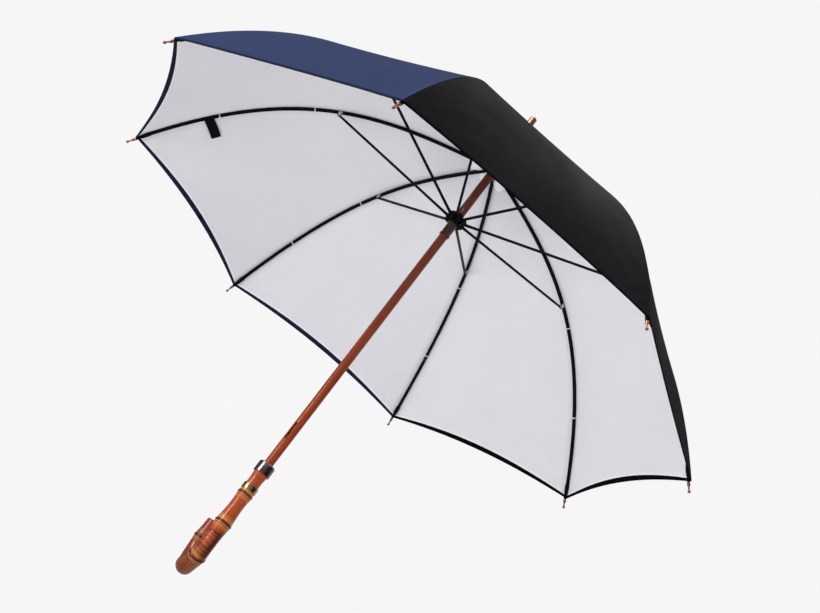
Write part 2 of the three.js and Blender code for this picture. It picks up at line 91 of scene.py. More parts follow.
JOINT_Z = rib_z(JOINT_R) - 5
LINK_DROP = CROWN_Z - JOINT_Z
LINK_RUN = JOINT_R - PIVOT_R
LINK_LENGTH = math.hypot(LINK_RUN, LINK_DROP)
RUNNER_Z = CROWN_Z - 2 * LINK_DROP
CLOSED_LEAN = math.radians(88.3)  # of a stretcher from the horizontal, with the umbrella closed
CLOSED_RUNNER_Z = CROWN_Z - 2 * LINK_LENGTH * math.sin(CLOSED_LEAN)
TOP_CATCH_Z = RUNNER_Z - 24
BOTTOM_CATCH_Z = CLOSED_RUNNER_Z - 24
STAPLE_Z = RUNNER_Z + 18


def azimuth(k):
    return STEP * (k - 0.5)


def circle(count):
    """Evenly spaced angles round a full turn."""
    return np.linspace(0, 2 * math.pi, count, endpoint=False)


def turned(points, angle):
    c, s = math.cos(angle), math.sin(angle)
    p = np.asarray(points, float)
    return np.stack([p[..., 0] * c - p[..., 1] * s, p[..., 0] * s + p[..., 1] * c, p[..., 2]], -1)


# ---- node helpers


class Nodes:
    """A node tree, built a node at a time."""

    def __init__(self, tree):
        self.tree = tree

    def node(self, kind, inputs=None, **settings):
        made = self.tree.nodes.new("ShaderNode" + kind)
        for key, value in settings.items():
            setattr(made, key, value)
        for key, value in (inputs or {}).items():
            if isinstance(value, bpy.types.NodeSocket):
                self.tree.links.new(value, made.inputs[key])
            else:
                made.inputs[key].default_value = value
        return made

    def coords(self, scale=(1, 1, 1)):
        source = self.node("TexCoord").outputs["Object"]
        return self.node("Mapping", {"Vector": source, "Scale": scale}).outputs[0]

    def uv(self, scale=(1, 1, 1)):
        source = self.node("UVMap", uv_map="UVMap").outputs[0]
        return self.node("Mapping", {"Vector": source, "Scale": scale}).outputs[0]

    def attribute(self, name):
        return self.node("Attribute", attribute_name=name).outputs["Fac"]

    def noise(self, vector, scale, detail=3.0, roughness=0.5, distortion=0.0):
        return self.node("TexNoise", {
            "Vector": vector, "Scale": scale, "Detail": detail, "Roughness": roughness,
            "Distortion": distortion}).outputs[0]

    def wave(self, vector, scale, distortion=0.0, direction="X"):
        return self.node("TexWave", {
            "Vector": vector, "Scale": scale, "Distortion": distortion, "Detail": 0.0},
            bands_direction=direction).outputs["Fac"]

    def weave(self, scale):
        """Crossed threads, by UV."""
        uv = self.uv()
        return self.times(self.wave(uv, scale), self.wave(uv, scale, direction="Y"))

    def math(self, operation, a, b=0.0):
        return self.node("Math", {0: a, 1: b}, operation=operation).outputs[0]

    def times(self, a, b):
        return self.math("MULTIPLY", a, b)

    def span(self, value, low, high, to_low=0.0, to_high=1.0):
        return self.node("MapRange", {
            "Value": value, "From Min": low, "From Max": high, "To Min": to_low,
            "To Max": to_high}).outputs[0]

    def band(self, value, centre, half):
        """1 where value is within half of centre, falling to 0 at twice that."""
        off = self.math("ABSOLUTE", self.math("SUBTRACT", value, centre))
        return self.span(off, half, 2 * half, 1.0, 0.0)

    def dashes(self, name, pitch):
        """1 on a stitch and 0 in the gap after it, along the named attribute."""
        run = self.math("FRACT", self.times(self.attribute(name), 1 / pitch))
        return self.span(run, 0.62, 0.7, 1.0, 0.0)

    def mix(self, factor, a, b):
        inputs = {0: factor, 6: a, 7: b}  # the Mix node's own places for factor and two colours
        for index in (6, 7):
            if isinstance(inputs[index], tuple):
                inputs[index] = (*inputs[index], 1.0)
        return self.node("Mix", inputs, data_type="RGBA").outputs[2]

    def tint(self, tone, mask, share, colour):
        """tone with a share of colour where mask is 1."""
        return self.mix(self.times(mask, share), tone, colour)

    def ramp(self, value, stops):
        made = self.node("ValToRGB", {0: value})
        elements = made.color_ramp.elements
        while len(elements) < len(stops):
            elements.new(0.5)
        for element, (place, colour) in zip(elements, stops):
            element.position = place
            element.color = (*colour, 1.0)
        return made.outputs[0]

    def bump(self, height, distance, strength=1.0, normal=None):
        inputs = {"Height": height, "Distance": distance, "Strength": strength}
        if normal is not None:
            inputs["Normal"] = normal
        return self.node("Bump", inputs).outputs[0]


class Look(Nodes):
    """A procedural material. Keywords set the shader's sockets."""

    def __init__(self, name, **sockets):
        self.material = bpy.data.materials.new(name)
        self.material.use_nodes = True
        super().__init__(self.material.node_tree)
        self.shader = next(n for n in self.tree.nodes if n.type == "BSDF_PRINCIPLED")
        for key, value in sockets.items():
            self.shader.inputs[key.replace("_", " ")].default_value = value

    def link(self, socket, name):
        self.tree.links.new(socket, self.shader.inputs[name])


def srgb(r, g, b):
    return tuple(((c / 255 + 0.055) / 1.055) ** 2.4 if c > 10 else c / 255 / 12.92
                 for c in (r, g, b))


def scaled(colour, share):
    return tuple(c * share for c in colour)


# ---- materials


STITCH = 3.2  # mm from one stitch to the next


def cloth_look(name, colour, thread, roughness):
    """Close plain-weave cloth with sewn edges. UV is in metres: across the rib, and along it."""
    look = Look(name, Specular_IOR_Level=0.02)
    weave = look.weave(330.0)
    mottle = look.noise(look.coords(), 9.0, 4.0, 0.6)
    slub = look.noise(look.uv((40.0, 900.0, 1.0)), 1.0, 2.0)
    tone = look.mix(look.span(mottle, 0.3, 0.7), scaled(colour, 0.93), scaled(colour, 1.07))
    tone = look.tint(tone, slub, 0.22, scaled(colour, 1.25))
    tone = look.tint(tone, weave, 0.16, scaled(colour, 0.7))
    hem = look.attribute("hem_mm")
    seam = look.attribute("seam_mm")
    hem_row = look.times(look.band(hem, 4.2, 0.3), look.dashes("run_mm", STITCH))
    seam_row = look.times(look.band(seam, 3.0, 0.3), look.dashes("down_mm", STITCH))
    stitches = look.math("MAXIMUM", hem_row, seam_row)
    tone = look.mix(stitches, tone, thread)
    # painted shade: a darker line along the fold where the turned-in hem ends under the cover
    fold_shade = look.band(hem, 5.6, 0.35)
    tone = look.tint(tone, fold_shade, 0.35, scaled(colour, 0.55))
    # painted shade: the last few millimetres of the cover and its rolled edge are darkened, as if
    # in shadow
    tone = look.mix(look.span(hem, 2.3, 3.4, 0.75, 0.0), tone, scaled(colour, 0.2))
    rubbed = look.times(look.band(seam, 0.0, 0.8), look.span(mottle, 0.45, 0.75))
    tone = look.tint(tone, rubbed, 0.3, scaled(colour, 1.8))
    look.link(tone, "Base Color")
    look.link(look.span(mottle, 0.3, 0.7, roughness - 0.05, roughness + 0.07), "Roughness")
    pucker = look.times(look.noise(look.uv((260.0, 60.0, 1.0)), 1.0, 2.0),
                        look.span(seam, 0.0, 14.0, 1.0, 0.0))
    normal = look.bump(pucker, 0.0009, 0.8)
    normal = look.bump(look.noise(look.coords(), 22.0, 3.0), 0.0012, 0.5, normal)
    normal = look.bump(stitches, 0.0003, 0.7, normal)
    normal = look.bump(weave, 0.00012, 0.6, normal)
    look.link(normal, "Normal")
    return look.material


NAVY = scaled(srgb(52, 64, 98), 0.78)
BLACK = scaled(srgb(34, 30, 38), 0.36)
LINING = srgb(231, 230, 234)
navy_cloth = cloth_look("navy_cloth", NAVY, scaled(NAVY, 1.5), 0.66)
black_cloth = cloth_look("black_cloth", BLACK, scaled(BLACK, 2.0), 0.6)


def lining_look():
    look = Look("lining_cloth", Roughness=0.78, Specular_IOR_Level=0.25, Sheen_Weight=0.06)
    weave = look.weave(360.0)
    mottle = look.noise(look.coords(), 6.0, 4.0, 0.55)
    slub = look.noise(look.uv((900.0, 30.0, 1.0)), 1.0, 2.0)
    tone = look.mix(look.span(mottle, 0.3, 0.7), scaled(LINING, 0.96), scaled(LINING, 1.0))
    tone = look.tint(tone, slub, 0.10, scaled(LINING, 0.88))
    tone = look.tint(tone, weave, 0.06, scaled(LINING, 0.84))
    hem = look.attribute("hem_mm")
    hem_band = look.span(hem, 4.8, 5.6, 1.0, 0.0)
    tone = look.tint(tone, hem_band, 0.6, srgb(248, 248, 250))
    dash = look.times(look.band(hem, 4.6, 0.2), look.dashes("run_mm", 3.0))
    tone = look.tint(tone, dash, 0.3, srgb(150, 148, 156))
    seam = look.attribute("seam_mm")
    shade = look.span(seam, 2.0, 16.0, 0.22, 0.0)
    tone = look.mix(shade, tone, srgb(172, 169, 178))
    # painted shade: the lining greys towards the crown, deep under the canopy
    crown = look.span(look.attribute("down_mm"), 20.0, 190.0, 0.4, 0.0)
    tone = look.mix(crown, tone, srgb(190, 187, 195))
    look.link(tone, "Base Color")
    folds = look.noise(look.uv((26.0, 5.0, 1.0)), 1.0, 3.0, 0.55)
    normal = look.bump(folds, 0.004, 0.35)
    pucker = look.times(look.noise(look.uv((240.0, 70.0, 1.0)), 1.0, 2.0),
                        look.span(seam, 0.0, 20.0, 1.0, 0.0))
    normal = look.bump(pucker, 0.001, 0.8, normal)
    normal = look.bump(weave, 0.0001, 0.5, normal)
    look.link(normal, "Normal")
    return look.material


lining_cloth = lining_look()


def steel_look(name, colour, roughness, metallic, scratch=0.5, coat=0.0, specular=0.5):
    """Painted or plated metal with smudges, and fine streaks along Z."""
    look = Look(name, Metallic=metallic, Coat_Weight=coat, Coat_Roughness=0.12,
                Specular_IOR_Level=specular)
    fine = look.noise(look.coords((1.0, 1.0, 0.12)), 900.0, 2.0)
    smudge = look.noise(look.coords(), 60.0, 4.0, 0.6)
    tone = look.mix(look.span(smudge, 0.3, 0.75), scaled(colour, 0.86), scaled(colour, 1.1))
    tone = look.tint(tone, look.span(fine, 0.55, 0.75), 0.25, scaled(colour, 1.5))
    look.link(tone, "Base Color")
    look.link(look.span(smudge, 0.25, 0.8, roughness * 0.8, roughness * 1.3), "Roughness")
    normal = look.bump(fine, 0.00003, 0.3 * scratch)
    look.link(look.bump(smudge, 0.0001, 0.08, normal), "Normal")
    return look.material


black_steel = steel_look("black_steel", srgb(12, 12, 15), 0.5, 0.0, specular=0.12)
black_nylon = steel_look("black_nylon", srgb(10, 10, 12), 0.55, 0.0, 0.3, specular=0.1)
blued_steel = steel_look("blued_steel", srgb(74, 52, 46), 0.4, 0.8, 0.3)
silver = steel_look("nickel_silver", srgb(196, 192, 190), 0.3, 0.95)
gunmetal = steel_look("gunmetal", srgb(152, 132, 142), 0.2, 1.0, 0.35)
gold_plate = steel_look("gold_plate", srgb(226, 192, 144), 0.2, 1.0, 0.35)
copper = steel_look("rose_copper", srgb(224, 172, 138), 0.34, 1.0, 0.5)
tip_brass = steel_look("tip_brass", srgb(190, 134, 110), 0.28, 0.95, 0.4)
sleeve_metal = steel_look("sleeve_metal", srgb(58, 42, 38), 0.34, 0.55, 0.5, 0.2)


def shaft_look():
    """Stained beech under varnish: long grain along Z, pores, and painted shade darkening it
    towards the crown, under the canopy.
    """
    look = Look("shaft_wood", Coat_Weight=0.3, Coat_Roughness=0.16, Specular_IOR_Level=0.15)
    grain = look.noise(look.coords((1.0, 1.0, 0.045)), 420.0, 3.0, 0.55, 0.4)
    broad = look.noise(look.coords((1.0, 1.0, 0.03)), 160.0, 3.0, 0.5)
    pores = look.noise(look.coords((1.0, 1.0, 0.02)), 1500.0, 1.0)
    tone = look.ramp(grain, [
        (0.25, srgb(136, 52, 20)), (0.48, srgb(154, 62, 25)), (0.75, srgb(172, 78, 33))])
    tone = look.mix(look.span(broad, 0.35, 0.7, 0.0, 0.55), tone, srgb(134, 48, 20))
    tone = look.mix(look.span(pores, 0.66, 0.78, 0.0, 0.2), tone, srgb(84, 28, 14))
    height = look.node("SeparateXYZ", {0: look.coords()}).outputs[2]
    # painted shade: the wood darkens with height, as it would in the canopy's shadow
    tone = look.mix(look.span(height, 0.12, 0.66, 0.0, 0.85), tone, srgb(58, 17, 8))
    look.link(tone, "Base Color")
    look.link(look.span(grain, 0.3, 0.7, 0.3, 0.42), "Roughness")
    look.link(look.bump(grain, 0.00006, 0.08), "Normal")
    return look.material


def bamboo_look():
    """Polished whangee: pale zones beside dark nodes, red-brown between them, growth rings."""
    look = Look("bamboo", Coat_Weight=0.6, Coat_Roughness=0.1, Specular_IOR_Level=0.25)
    off = look.attribute("node_mm")  # signed distance to the nearest node along the cane
    ring = look.attribute("ring")  # 0 to 1, deep in a growth ring's groove
    away = look.math("ABSOLUTE", off)
    fibre = look.noise(look.uv((70.0, 6.0, 1.0)), 3.0, 3.0, 0.55, 0.4)
    blotch = look.noise(look.coords(), 60.0, 2.0, 0.5)
    body = look.ramp(fibre, [
        (0.2, srgb(140, 54, 20)), (0.5, srgb(168, 72, 29)), (0.8, srgb(192, 98, 43))])
    body = look.mix(look.span(blotch, 0.4, 0.72, 0.0, 0.6), body, srgb(166, 56, 24))
    pale = look.times(look.span(away, 3.0, 13.0, 0.85, 0.0),
                      look.span(blotch, 0.25, 0.6, 0.5, 1.0))
    tone = look.mix(pale, body, srgb(204, 134, 66))
    tone = look.tint(tone, ring, 0.9, srgb(74, 22, 10))
    # painted shade down the cane's far side, with a darker bend
    tone = look.tint(tone, look.attribute("shade_and_dark_bend"), 0.9, srgb(52, 17, 13))
    dark = look.math("MAXIMUM", look.span(away, 1.5, 3.0, 0.92, 0.0),
                     look.times(look.band(off, 4.4, 0.5), 0.6))
    tone = look.mix(dark, tone, srgb(74, 22, 13))
    look.link(tone, "Base Color")
    look.link(look.span(fibre, 0.2, 0.8, 0.2, 0.34), "Roughness")
    look.link(look.bump(fibre, 0.0001, 0.04), "Normal")
    return look.material


shaft_wood = shaft_look()
bamboo = bamboo_look()


def webbing_look():
    look = Look("strap_webbing", Roughness=0.85, Specular_IOR_Level=0.04)
    twill = look.wave(look.uv(), 420.0, 1.0, "DIAGONAL")
    cross = look.noise(look.coords(), 260.0, 3.0)
    base = srgb(14, 14, 16)
    tone = look.tint(base, twill, 0.6, scaled(base, 2.0))
    tone = look.tint(tone, cross, 0.3, scaled(base, 1.6))
    look.link(tone, "Base Color")
    look.link(look.bump(twill, 0.0003, 0.7), "Normal")
    return look.material


def threads_look(name, dark, light, distortion, strength, **sockets):
    """Pale diagonal threads."""
    look = Look(name, **sockets)
    strands = look.wave(look.coords(), 500.0, distortion, "DIAGONAL")
    look.link(look.mix(strands, dark, light), "Base Color")
    look.link(look.bump(strands, 0.0002, strength), "Normal")
    return look.material


webbing = webbing_look()
thread = threads_look("white_thread", srgb(205, 203, 208), srgb(240, 240, 242), 2.0, 0.6,
                      Roughness=0.7, Sheen_Weight=0.2)
rosette_cloth = threads_look("rosette_cloth", srgb(240, 240, 243), srgb(252, 252, 253), 0.5, 0.5,
                             Roughness=0.8, Sheen_Weight=0.1)

# ---- mesh helpers


def add_object(name, data):
    made = bpy.data.objects.new(name, data)
    scene.collection.objects.link(made)
    return made


def add_mesh(name, points, faces, materials, slots=None, uvs=None, sharp=None, fields=None,
             normals=None):
    mesh = bpy.data.meshes.new(name)
    mesh.from_pydata((np.asarray(points, float) * MM).tolist(), [], faces)
    for material in materials:
        mesh.materials.append(material)
    if slots is not None:
        mesh.polygons.foreach_set("material_index", slots)
    mesh.polygons.foreach_set("use_smooth", [True] * len(mesh.polygons))
    if sharp is not None:
        mesh.set_sharp_from_angle(angle=math.radians(sharp))
    if uvs is not None:
        layer = mesh.uv_layers.new(name="UVMap")
        index = np.zeros(len(mesh.loops), np.int32)
        mesh.loops.foreach_get("vertex_index", index)
        layer.data.foreach_set("uv", np.asarray(uvs, np.float32)[index].ravel())
    for key, values in (fields or {}).items():
        field = mesh.attributes.new(key, "FLOAT", "POINT")
        field.data.foreach_set("value", np.asarray(values, np.float32))
    mesh.validate()
    mesh.update()
    if normals is not None:
        mesh.normals_split_custom_set_from_vertices(np.asarray(normals, float).tolist())
    return add_object(name, mesh)


def tube_faces(rings, around):
    """Faces of a tube through rings of points, capped at both ends."""
    faces = [(i * around + j, i * around + (j + 1) % around, (i + 1) * around + (j + 1) % around,
              (i + 1) * around + j) for i in range(rings - 1) for j in range(around)]
    faces.append(tuple(reversed(range(around))))
    faces.append(tuple((rings - 1) * around + j for j in range(around)))
    return faces


class Parts:
    """Points and faces of a piece that is made of several closed bits."""

    def __init__(self):
        self.points, self.faces, self.uv = [], [], []

    def put(self, points, faces, uv=None):
        base = len(self.points)
        self.points += [tuple(p) for p in points]
        self.faces += [tuple(i + base for i in f) for f in faces]
        self.uv += [tuple(p) for p in uv] if uv is not None else [(p[0] * MM, p[2] * MM)
                                                                 for p in points]

    def sweep(self, rings):
        """Closed rings of equal length, capped at both ends."""
        rings = np.asarray(rings, float)
        n, m = rings.shape[:2]
        lengths = np.concatenate([[0], np.cumsum(np.linalg.norm(
            np.diff(rings.mean(1), axis=0), axis=1))])
        uv = [(j / m * 0.02, lengths[i] * MM) for i in range(n) for j in range(m)]
        self.put(rings.reshape(-1, 3), tube_faces(n, m), uv)

    def ring(self, sections):
        """Sections round a closed path, each a closed ring, joined end to start."""
        sections = np.asarray(sections, float)
        n, m = sections.shape[:2]
        faces = [(i * m + j, i * m + (j + 1) % m, ((i + 1) % n) * m + (j + 1) % m,
                  ((i + 1) % n) * m + j) for i in range(n) for j in range(m)]
        self.put(sections.reshape(-1, 3), faces)

    def piece(self, name, materials, angle=0.0, sharp=35, **more):
        points = turned(self.points, angle)
        made = add_mesh(name, points, self.faces, materials, uvs=self.uv, sharp=sharp, **more)
        clean = bmesh.new()
        clean.from_mesh(made.data)
        bmesh.ops.recalc_face_normals(clean, faces=clean.faces)
        clean.to_mesh(made.data)
        clean.free()
        return made


TURNED_SHARP = 32  # degrees between faces from which a turned piece's edge is sharp


def lathe(profile, segments, axis_point=(0, 0, 0), tilt=0.0):
    """A turned solid from (radius, z) points. tilt leans its +Z towards +X, in radians."""
    points, faces, rings = [], [], []
    for radius, z in profile:
        if radius < 1e-6:
            rings.append([len(points)])
            points.append((0, 0, z))
        else:
            rings.append(list(range(len(points), len(points) + segments)))
            points += [(radius * math.cos(a), radius * math.sin(a), z) for a in circle(segments)]
    pairs = list(zip(rings, rings[1:]))
    if len(rings[0]) > 1 and len(rings[-1]) > 1:
        pairs.append((rings[-1], rings[0]))
    for a, b in pairs:
        for j in range(segments):
            k = (j + 1) % segments
            if len(a) == 1:
                faces.append((a[0], b[k], b[j]))
            elif len(b) == 1:
                faces.append((a[j], a[k], b[0]))
            else:
                faces.append((a[j], a[k], b[k], b[j]))
    p = np.array(points, float)
    c, s = math.cos(tilt), math.sin(tilt)
    x = p[:, 0] * c + p[:, 2] * s + axis_point[0]
    z = -p[:, 0] * s + p[:, 2] * c + axis_point[2]
    return np.stack([x, p[:, 1] + axis_point[1], z], 1), faces


def lathe_piece(name, profile, segments, material, body, node):
    parts = Parts()
    parts.put(*lathe(profile, segments))
    made = parts.piece(name, [material], sharp=TURNED_SHARP)
    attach(made, body)
    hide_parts(node)
    return made


def cut_away(target, cutters):
    """Takes the cutters' space out of target, and removes them."""
    for cutter in cutters:
        modifier = target.modifiers.new("cut", "BOOLEAN")
        modifier.operation = "DIFFERENCE"
        modifier.solver = "EXACT"
        modifier.object = cutter
    bpy.context.view_layer.update()
    evaluated = target.evaluated_get(bpy.context.evaluated_depsgraph_get())
    mesh = bpy.data.meshes.new_from_object(evaluated)
    target.modifiers.clear()
    target.data = mesh
    for cutter in cutters:
        bpy.data.objects.remove(cutter)
    mesh.polygons.foreach_set("use_smooth", [True] * len(mesh.polygons))
    mesh.set_sharp_from_angle(angle=math.radians(TURNED_SHARP))


def slab_faces(rows, columns, flipped=False):
    """Faces of two stacked grids of rows x columns cells, closed round their border.

    flipped turns the cells over, which only changes how their quads are split.
    """
    width = columns + 1
    top = (rows + 1) * width
    faces = []
    for i in range(rows):
        for j in range(columns):
            cell = (i * width + j, i * width + j + 1, (i + 1) * width + j + 1, (i + 1) * width + j)
            if flipped:
                cell = cell[::-1]
            faces += [cell[::-1], tuple(v + top for v in cell)]
    edge = ([j for j in range(width)] + [i * width + columns for i in range(1, rows + 1)]
            + [rows * width + j for j in range(columns - 1, -1, -1)]
            + [i * width for i in range(rows - 1, 0, -1)])
    faces += [(a, b, b + top, a + top) for a, b in zip(edge, edge[1:] + edge[:1])]
    return faces


def cutter_box(lo, hi, angle):
    points = [(x, y, z) for x in (lo[0], hi[0]) for y in (lo[1], hi[1]) for z in (lo[2], hi[2])]
    faces = [(0, 1, 3, 2), (4, 6, 7, 5), (0, 4, 5, 1), (2, 3, 7, 6), (0, 2, 6, 4), (1, 5, 7, 3)]
    return add_mesh("cutter", turned(points, angle), faces, [])


# ---- canopy panels


def cloth_point(r, s, side, height):
    """r along the rib, s from 0 on the rib to 1 at the panel's middle, height off the rib."""
    t = s / 2
    lift = 3.2 + height + 2.6 * np.exp(-((r / 24) ** 2))
    lean = np.arctan(slope(r))
    radius = r + lift * np.sin(lean)
    z = rib_z(r) + lift * np.cos(lean)
    sag = PANEL_SAG * (r / CANOPY_R) ** 2 * 4 * t * (1 - t)
    inwards = radius - sag * np.sin(lean)
    x = inwards * (1 - t + t * math.cos(STEP))
    y = inwards * t * math.sin(STEP) * side
    return np.stack([x, y, z - sag * np.cos(lean)], -1)


def creases(r, s, k, side):
    """Short tension folds that fan out from each corner, in millimetres."""
    across = r * GORE_SPAN * s / 2
    back = CANOPY_R - r
    away = np.hypot(across, back)
    angle = np.arctan2(across, np.maximum(back, 1e-3))
    wave = np.cos(11 * angle + 0.7 * k + side) + 0.5 * np.cos(23 * angle + 1.9 * k)
    return 0.85 * wave * np.exp(-((away / 75) ** 2)) * np.clip(away / 14, 0, 1) * np.sqrt(s)


COVER, UNDER = 1.45, 0.15  # the two layers' heights off the rib
NAVY_PANELS = (8, 1, 2, 3)  # a panel is named after the rib it follows
ROWS_IN, ROWS_OUT, COLUMNS = ((20, 36, 14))


def panel(k, side, start, end_of, rows, rolled):
    """One half of a canopy panel beside rib k, two layers thick, as add_mesh takes it."""
    s = np.linspace(0, 1, COLUMNS + 1)
    end = end_of(s)
    lines = []  # (radii, heights, material slot of the strip after this line)
    for i in range(rows + 1):
        r = start + (end - start) * (i / rows)
        lines.append((r, COVER + creases(r, s, k, side), 0))
    if rolled:
        for reach, height in ((0.55, 1.3), (0.9, 0.75), (0.85, 0.0), (0.4, -0.5)):
            lines.append((end + reach, height + creases(end, s, k, side), 0))
        roll = 0.8 + 1.2 * np.sin(math.pi * s / 2)  # the turned-in hem, widest between ribs
        for back in (0.7 * roll, 1.6 * roll):
            lines.append((end - back, -0.55 + creases(end - back, s, k, side), 0))
        inner = end - 1.9 * roll
    else:
        inner = end
    for i in range(rows + 1):
        r = inner + (start - inner) * i / rows
        lines.append((r, UNDER + creases(r, s, k, side), 1))
    count, width = len(lines), COLUMNS + 1
    points, normals, hem = [], [], []
    step = 0.5  # to either side, when a normal is measured
    for n, (r, height, slot) in enumerate(lines):
        points.append(cloth_point(r, s, side, height))
        if n <= rows or slot == 1:
            rise = creases(r + step, s, k, side) - creases(r - step, s, k, side)
            dr = (cloth_point(r + step, s, side, height + rise / 2)
                  - cloth_point(r - step, s, side, height - rise / 2))
            s2, s1 = np.minimum(s + 0.02, 1.0), np.maximum(s - 0.02, 0.0)
            flat = height - creases(r, s, k, side)
            ds = (cloth_point(r, s2, side, flat + creases(r, s2, k, side))
                  - cloth_point(r, s1, side, flat + creases(r, s1, k, side)))
            # level at the panel's middle, so that its two halves shade alike
            ds[-1] = np.array([-math.sin(STEP / 2), math.cos(STEP / 2) * side, 0.0])
            normal = np.cross(dr, ds) * side
            normal /= np.linalg.norm(normal, axis=1)[:, None]
            normals.append(normal if n <= rows else -normal)
        else:
            normals.append(np.zeros((width, 3)))
        if not rolled:
            hem.append(np.full(width, 200.0))
        elif n <= rows:
            hem.append(end + 0.9 - r)
        elif slot == 0:
            # the rolled edge takes 1 mm, so that the cover's painted shade darkens it
            hem.append(np.ones(width))
        else:
            hem.append(inner - r + 2.8)
    radii = np.stack([r for r, _, _ in lines])
    arc = radii * GORE_SPAN * s / 2  # from the rib
    faces, slots = [], []
    for i in range(count):
        j = (i + 1) % count
        for c in range(COLUMNS):
            quad = (i * width + c, i * width + c + 1, j * width + c + 1, j * width + c)
            faces.append(quad if side < 0 else quad[::-1])
            slots.append(lines[i][2] if j else 0)
    # the long edges at the rib and at the panel's middle, closed between the two layers
    for c in (0, COLUMNS):
        turn = (c == 0) == (side < 0)
        for i in range(rows):
            quad = [line * width + c for line in (i, i + 1, count - 2 - i, count - 1 - i)]
            faces.append(tuple(quad[::-1] if turn else quad))
            slots.append(0)
        if rolled:
            edge = [line * width + c for line in range(rows, count - rows)]
            faces.append(tuple(edge[::-1] if turn else edge))
            slots.append(0)
    return dict(points=turned(np.concatenate(points), azimuth(k)), faces=faces, slots=slots,
                uvs=np.stack([arc * side * MM, radii * MM], -1).reshape(-1, 2),
                normals=turned(np.concatenate(normals), azimuth(k)),
                fields={"hem_mm": np.concatenate(hem), "seam_mm": arc.ravel(),
                        "run_mm": (arc * side + 300).ravel(), "down_mm": radii.ravel()})


def direction(k, radial, across, up):
    return Vector(turned([(radial, across, up)], azimuth(k))[0]).normalized()


def flatten(obj):
    """Gives the piece a mesh of its own, not shared with another object.
    """
    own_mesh(obj)


def hem_end(s):
    t = s / 2
    return HEM_R - HEM_DIP * 4 * t * (1 - t)


def flex_end(s):
    return FLEX_R + 0 * s


def half_gore(k, side, name, outer):
    """Half a canopy panel beside rib k: its crown part, or its skirt part out to the hem."""
    number = k if side > 0 else (k - 2) % RIBS + 1
    navy = number in NAVY_PANELS
    cloths = [navy_cloth if navy else black_cloth, lining_cloth]
    if outer:
        made = add_mesh(name, materials=cloths, **panel(k, side, FLEX_R, hem_end, ROWS_OUT, True))
        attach(made, f"outer_{k}")
        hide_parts(f"canopy_skirt_gore_{k}")
    else:
        made = add_mesh(name, materials=cloths,
                        **panel(k, side, CANOPY_START, flex_end, ROWS_IN, False))
        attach(made, f"inner_{k}")
        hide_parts(f"canopy_crown_gore_{k}")
    flatten(made)


for k in range(1, RIBS + 1):
    for side, word in ((1, "a"), (-1, "b")):
        half_gore(k, side, f"canopy_crown_{k}{word}", False)
        half_gore(k, side, f"canopy_skirt_{k}{word}", True)

# ---- ribs


def on_rib(r, d, y, h):
    """The point d along the rib from r, y across it and h off it."""
    angle = math.atan(slope(r))
    c, s = math.cos(angle), math.sin(angle)
    return (r + d * c + h * s, y, rib_z(r) - d * s + h * c)


def channel_ring(r, section):
    return [on_rib(r, 0, y, h) for y, h in section]


def hinge_ring(centre, radius, y, count):
    """Points round an axis along Y through centre, an (x, z) place."""
    return [(centre[0] + radius * math.cos(a), y, centre[1] + radius * math.sin(a))
            for a in circle(count)]


def eye_rings(centre):
    """Rings of a flat hinge eye round centre, with rounded rims."""
    outer, inner, half = 2.4, 0.95, 1.2
    section = [(outer, -half + 0.3), (outer, half - 0.3), (outer - 0.3, half),
               (inner + 0.2, half), (inner, half - 0.2), (inner, -half + 0.2),
               (inner + 0.2, -half), (outer - 0.3, -half)]
    return [[(centre[0] + radius * math.cos(a), y, centre[1] + radius * math.sin(a))
             for radius, y in section] for a in circle(20)]


def rib_piece(k):
    w, h, wall = 2.15, 1.6, 0.65
    section = [(-w, -h), (-w, h - 0.5), (-w + 0.5, h), (w - 0.5, h), (w, h - 0.5), (w, -h),
               (w - 0.25, -h - 0.15), (w - wall, -h), (w - wall, h - wall - 0.3),
               (w - wall - 0.3, h - wall), (-w + wall + 0.3, h - wall),
               (-w + wall, h - wall - 0.3), (-w + wall, -h), (-w + 0.25, -h - 0.15)]
    parts = Parts()
    stations = np.concatenate([np.linspace(21, 250, 16), np.linspace(252, 298, 24),
                               np.linspace(305, 514.6, 24)])
    parts.sweep([channel_ring(r, section) for r in stations])
    blade = []
    for d, half_y, half_z in ((1.6, 1.15, 1.5), (4.0, 1.2, 1.35), (7.5, 1.3, 1.3),
                              (9.5, 1.45, 0.9), (12.0, 1.45, 0.8)):
        blade.append([on_rib(PIVOT_R, d, a, b) for a, b in (
            (-half_y, -half_z * 0.6), (-half_y, half_z * 0.6), (-half_y * 0.6, half_z),
            (half_y * 0.6, half_z), (half_y, half_z * 0.6), (half_y, -half_z * 0.6),
            (half_y * 0.6, -half_z), (-half_y * 0.6, -half_z))])
    parts.sweep(blade)
    parts.ring(eye_rings((PIVOT_R, CROWN_Z)))
    made = parts.piece(f"rib_{k}", [black_steel], azimuth(k))
    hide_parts(f"rib_inner_{k}", f"rib_outer_{k}")
    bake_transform(made)


def tape_piece(k):
    """The black seam tape between the rib and the lining."""
    parts = Parts()
    stations = np.concatenate([np.linspace(26, 252, 14), np.linspace(254, 296, 16),
                               np.linspace(304, 505, 16)])
    section = [(-2.75, 2.15), (-2.75, 2.5), (-2.3, 2.85), (2.3, 2.85), (2.75, 2.5),
               (2.75, 2.15), (2.3, 1.95), (-2.3, 1.95)]
    parts.sweep([channel_ring(r, section) for r in stations])
    made = parts.piece(f"seam_tape_{k}", [webbing], azimuth(k))
    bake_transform(made)


